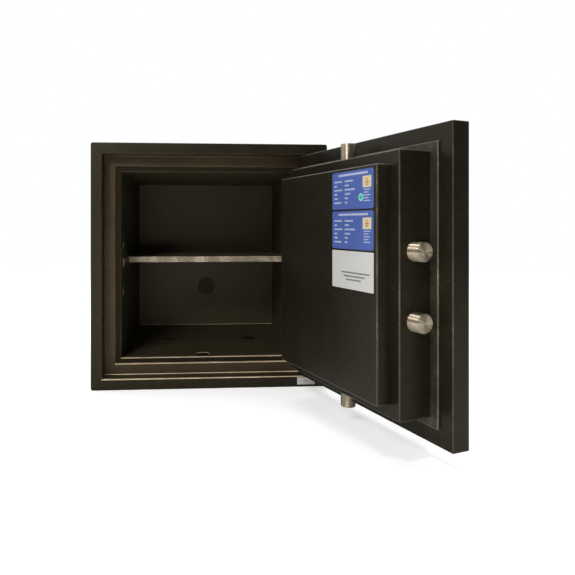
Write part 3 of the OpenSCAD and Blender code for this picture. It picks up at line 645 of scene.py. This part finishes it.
def makeSheetPieces():
    for node, look in sheetPieces.items():
        obj = nodeCopy(node, look["name"])
        onDoor = bodyOf[node] != "body"
        # body pieces also get a bright paint for painted highlights on edges facing up and forwards
        for kind in ("", "Edge") if onDoor else ("", "Edge", "Glint"):
            obj.data.materials.append(paints[look["paint"] + kind])
        if look["corner"]:
            roundCorners(obj, look["corner"], sheetEdges["cornerSegments"], look.get("keep", ()))
        evenWidth = node == "outer_casing"      # its round corners need even widths
        # the bevels here and in the corner rounding get slot 1, the lighter edge paint: a painted edge highlight
        roundEdges(obj, look["fine"], sheetEdges["segments"], sheetEdges["limit"],
                   loop_slide=not evenWidth, use_clamp_overlap=False, material=1)
        if onDoor:
            swing(obj)
        else:
            paintUpperEdgeGlint(obj, 2)
        if node == "shelf":
            paintShelfLipGlint(obj, 1)
        smoothFaces(obj)
        finishPiece(obj, node)


makeSheetPieces()
print("sheet metal made")


boltShape = {"sides": 72, "bevel": 0.0013, "bevelSegments": 2, "smooth": 25,
             "rings": (0.0022, 0.0022, 0.0020, 0.0018, 0.0014), "mapScale": 20, "centre": 0.02}


def latheMap(obj, start, end):      # distance along the turned surface, and the angle round it
    along = (end - start).normalized()
    side = along.orthogonal().normalized()
    other = along.cross(side)
    mesh = obj.data
    radius = max((v.co - start - along * (v.co - start).dot(along)).length for v in mesh.vertices)
    marks = mesh.attributes.new("lathe", "FLOAT_VECTOR", "POINT")
    places = []
    for v in mesh.vertices:
        away = v.co - start
        height = away.dot(along)
        flat = away - along * height
        angle = atan2(flat.dot(other), flat.dot(side))
        run = height + radius - flat.length
        places.append((angle, run, flat.length))
        marks.data[v.index].vector = (cos(angle), sin(angle), run)
    layer = mesh.uv_layers.new(name="latheUv")
    for face in mesh.polygons:
        middle = face.center - start
        flat = middle - along * middle.dot(along)
        centre = atan2(flat.dot(other), flat.dot(side))
        for loop in face.loop_indices:
            angle, run, reach = places[mesh.loops[loop].vertex_index]
            if reach < radius * boltShape["centre"]:
                angle = centre
            while angle - centre > pi:
                angle -= 2 * pi
            while angle - centre < -pi:
                angle += 2 * pi
            layer.data[loop].uv = (run * boltShape["mapScale"], angle / (2 * pi))


def makeBolt(name, start, end, radius, node):      # turned bar with a bevelled, ringed end
    obj = addRod(name, start, end, radius, boltShape["sides"])
    along = (end - start).normalized()
    selectFaces(obj, lambda centre, normal: normal.dot(along) > 0.9)
    bpy.ops.mesh.bevel(offset=boltShape["bevel"], segments=boltShape["bevelSegments"], affect="EDGES")
    leaveEdit()
    selectFaces(obj, lambda centre, normal: normal.dot(along) > 0.99)
    for ring in boltShape["rings"]:
        bpy.ops.mesh.inset(thickness=ring, depth=0)
    leaveEdit()
    latheMap(obj, start, end)
    pick(obj)
    bpy.ops.object.shade_smooth_by_angle(angle=radians(boltShape["smooth"]))
    swing(obj)
    obj.data.materials.append(metals["turned"])
    finishPiece(obj, node)


def makeBolts():
    low, high = closedBox("side_bolts")
    radius = (high.y - low.y) / 2
    middle = (low.y + high.y) / 2
    tail = closedBox("bolt_carriage")[0].x
    for name, z in (("sideBoltLower", low.z + radius), ("sideBoltUpper", high.z - radius)):
        makeBolt(name, Vector((tail, middle, z)), Vector((low.x, middle, z)), radius, "side_bolts")
    for node, name, up in (("top_bolt", "topBolt", True), ("bottom_bolt", "bottomBolt", False)):
        low, high = closedBox(node)
        x, y, radius = (low.x + high.x) / 2, (low.y + high.y) / 2, (high.x - low.x) / 2
        ends = (low.z, high.z) if up else (high.z, low.z)
        makeBolt(name, Vector((x, y, ends[0])), Vector((x, y, ends[1])), radius, node)


makeBolts()
print("bolts made")


labelShape = {"segments": 6, "smooth": 30, "film": 0.00008, "barEnd": 0.0005, "barSegments": 2}
blueLook = {
    "corner": 0.0035,
    "title": (0.016, 0.012, 0.0062, 0.0034),      # from the left, right, and two heights from the top
    "rows": 6, "rowStep": 0.0058, "firstRow": 0.0122, "barHeight": 0.0021,
    # left edge of each column, then its bar lengths row by row
    "columns": ((0.005, (0.0190, 0.0070, 0.0200, 0.0075, 0.0090, 0.0175)),
                (0.031, (0.0195, 0.0100, 0.0235, 0.0130, 0.0075, 0.0065))),
    "squareWide": 0.0185, "squareTall": 0.0150, "squareTop": 0.0092, "squareRight": 0.0045,
    # inset from the sides, bottom and top of each bar of the emblem
    "emblem": ((0.0070, 0.0028, 0.0050), (0.0056, 0.0060, 0.0084), (0.0075, 0.0096, 0.0118)),
    "emblemLift": 1.6,
    "smallRows": 5, "smallTop": 0.0020, "smallStep": 0.0036, "smallHeight": 0.0013,
    "smallInset": 0.002, "smallRagged": 0.004,
}
stickerLook = {"fromLeft": 0.0682, "height": 0.0150, "sides": 40, "edge": 0.4,
               "discs": ((0.0052, 0.00012, "printMint"), (0.0030, 0.0002, "printGreen"))}
paleLook = {"corner": 0.0015, "barHeight": 0.0021,
            "lines": ((0.0225, 0.008, 0.0235), (0.028, 0.018, 0.0187), (0.034, 0.0265, 0.0139))}


def printBar(parts, name, box, left, right, bottom, top, material, lift=1.0):
    low, high = box
    bar = addBox(name, (high.x - right, high.y, low.z + bottom),
                 (high.x - left, high.y + labelShape["film"] * lift, low.z + top))
    selectEdges(bar, lambda a, b: abs(a.y - b.y) > meshing["merge"])
    bpy.ops.mesh.bevel(offset=min(labelShape["barEnd"], (top - bottom) * 0.4),
                       segments=labelShape["barSegments"], affect="EDGES")
    leaveEdit()
    bar.data.materials.append(material)
    parts.append(bar)


def makeLabel(node, name, addPrint, corner):
    low, high = closedBox(node)
    obj = addBox(name, low, high)
    selectEdges(obj, lambda a, b: abs(a.y - b.y) > meshing["merge"])
    bpy.ops.mesh.bevel(offset=corner, segments=labelShape["segments"], affect="EDGES")
    leaveEdit()
    pick(obj)
    bpy.ops.object.shade_smooth_by_angle(angle=radians(labelShape["smooth"]))
    obj.data.materials.append(slotMaterial[slotOf[node]])
    swing(obj)
    finishPiece(obj, node)
    parts = []
    addPrint(parts, name, (low, high))
    prints = joined(name + "Print", parts)
    swing(prints)
    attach(prints, bodyOf[node])


def addSticker(parts, name, box):      # a small round sticker with a darker middle
    low, high = box
    look = stickerLook
    at = Vector((high.x - look["fromLeft"], high.y, low.z + look["height"]))
    for number, (radius, lift, material) in enumerate(look["discs"]):
        dot = addRod(f"{name}Sticker{number}", at, at + Vector((0, lift, 0)), radius, look["sides"])
        selectEdges(dot, lambda a, b: min(a.y, b.y) > high.y + lift / 2)
        bpy.ops.mesh.bevel(offset=lift * look["edge"], segments=1, affect="EDGES")
        leaveEdit()
        dot.data.materials.append(plastics[material])
        parts.append(dot)


def printBlue(parts, name, box):
    look = blueLook
    wide, tall = box[1].x - box[0].x, box[1].z - box[0].z
    pale = plastics["printPale"]
    left, right, bottom, top = look["title"]
    printBar(parts, name + "Title", box, left, wide - right, tall - bottom, tall - top, pale)
    for row in range(look["rows"]):
        top = tall - look["firstRow"] - row * look["rowStep"]
        for left, lengths in look["columns"]:
            printBar(parts, f"{name}Row{row}", box, left, left + lengths[row],
                     top - look["barHeight"], top, pale)
    right = wide - look["squareRight"]
    left = right - look["squareWide"]
    top = tall - look["squareTop"]
    bottom = top - look["squareTall"]
    printBar(parts, name + "Square", box, left, right, bottom, top, plastics["printBeige"])
    for inset, low, high in look["emblem"]:
        printBar(parts, name + "Emblem", box, left + inset, right - inset, bottom + low, bottom + high,
                 plastics["printOrange"], look["emblemLift"])
    inset = look["smallInset"]
    for row in range(look["smallRows"]):
        top = bottom - look["smallTop"] - row * look["smallStep"]
        printBar(parts, f"{name}Small{row}", box, left + inset,
                 right - inset - (row % 2) * look["smallRagged"], top - look["smallHeight"], top, pale)


def printBlueStickered(parts, name, box):
    printBlue(parts, name, box)
    addSticker(parts, name, box)


def printPale(parts, name, box):
    wide = box[1].x - box[0].x
    for row, (left, right, top) in enumerate(paleLook["lines"]):
        printBar(parts, f"{name}Line{row}", box, left, wide - right, top - paleLook["barHeight"], top,
                 plastics["printDark"])


makeLabel("label_upper", "labelUpper", printBlueStickered, blueLook["corner"])
makeLabel("label_middle", "labelMiddle", printBlue, blueLook["corner"])
makeLabel("label_lower", "labelLower", printPale, paleLook["corner"])
print("labels made")


smallPieces = {      # edge: width of the rounding
    "rear_anchor_cap": {"name": "wallCap", "look": plastics["cap"], "edge": 0.0006, "segments": 3},
    "floor_anchor_caps": {"name": "floorCaps", "look": plastics["cap"], "edge": 0.0006, "segments": 3},
    "rating_plate": {"name": "ratingPlate", "look": plastics["white"], "edge": 0.0002, "segments": 2},
    "handle_rose": {"name": "handleRose", "look": metals["chrome"], "edge": 0.0012, "segments": 3},
    "key_escutcheon": {"name": "keyCollar", "look": metals["chrome"], "edge": 0.0006, "segments": 3},
    "handle": {"name": "leverHandle", "look": metals["chrome"], "edge": 0.0022, "segments": 4},
    "lock_key": {"name": "bitKey", "look": metals["chrome"], "edge": 0.0004, "segments": 2},
}
smallEdgeLimit = 35


def makeSmallPieces():
    for node, look in smallPieces.items():
        obj = nodeCopy(node, look["name"])
        roundEdges(obj, look["edge"], look["segments"], smallEdgeLimit, use_clamp_overlap=True)
        if bodyOf[node] != "body":
            swing(obj)
        smoothFaces(obj)
        obj.data.materials.append(look["look"])
        finishPiece(obj, node)


makeSmallPieces()
print("small pieces made")
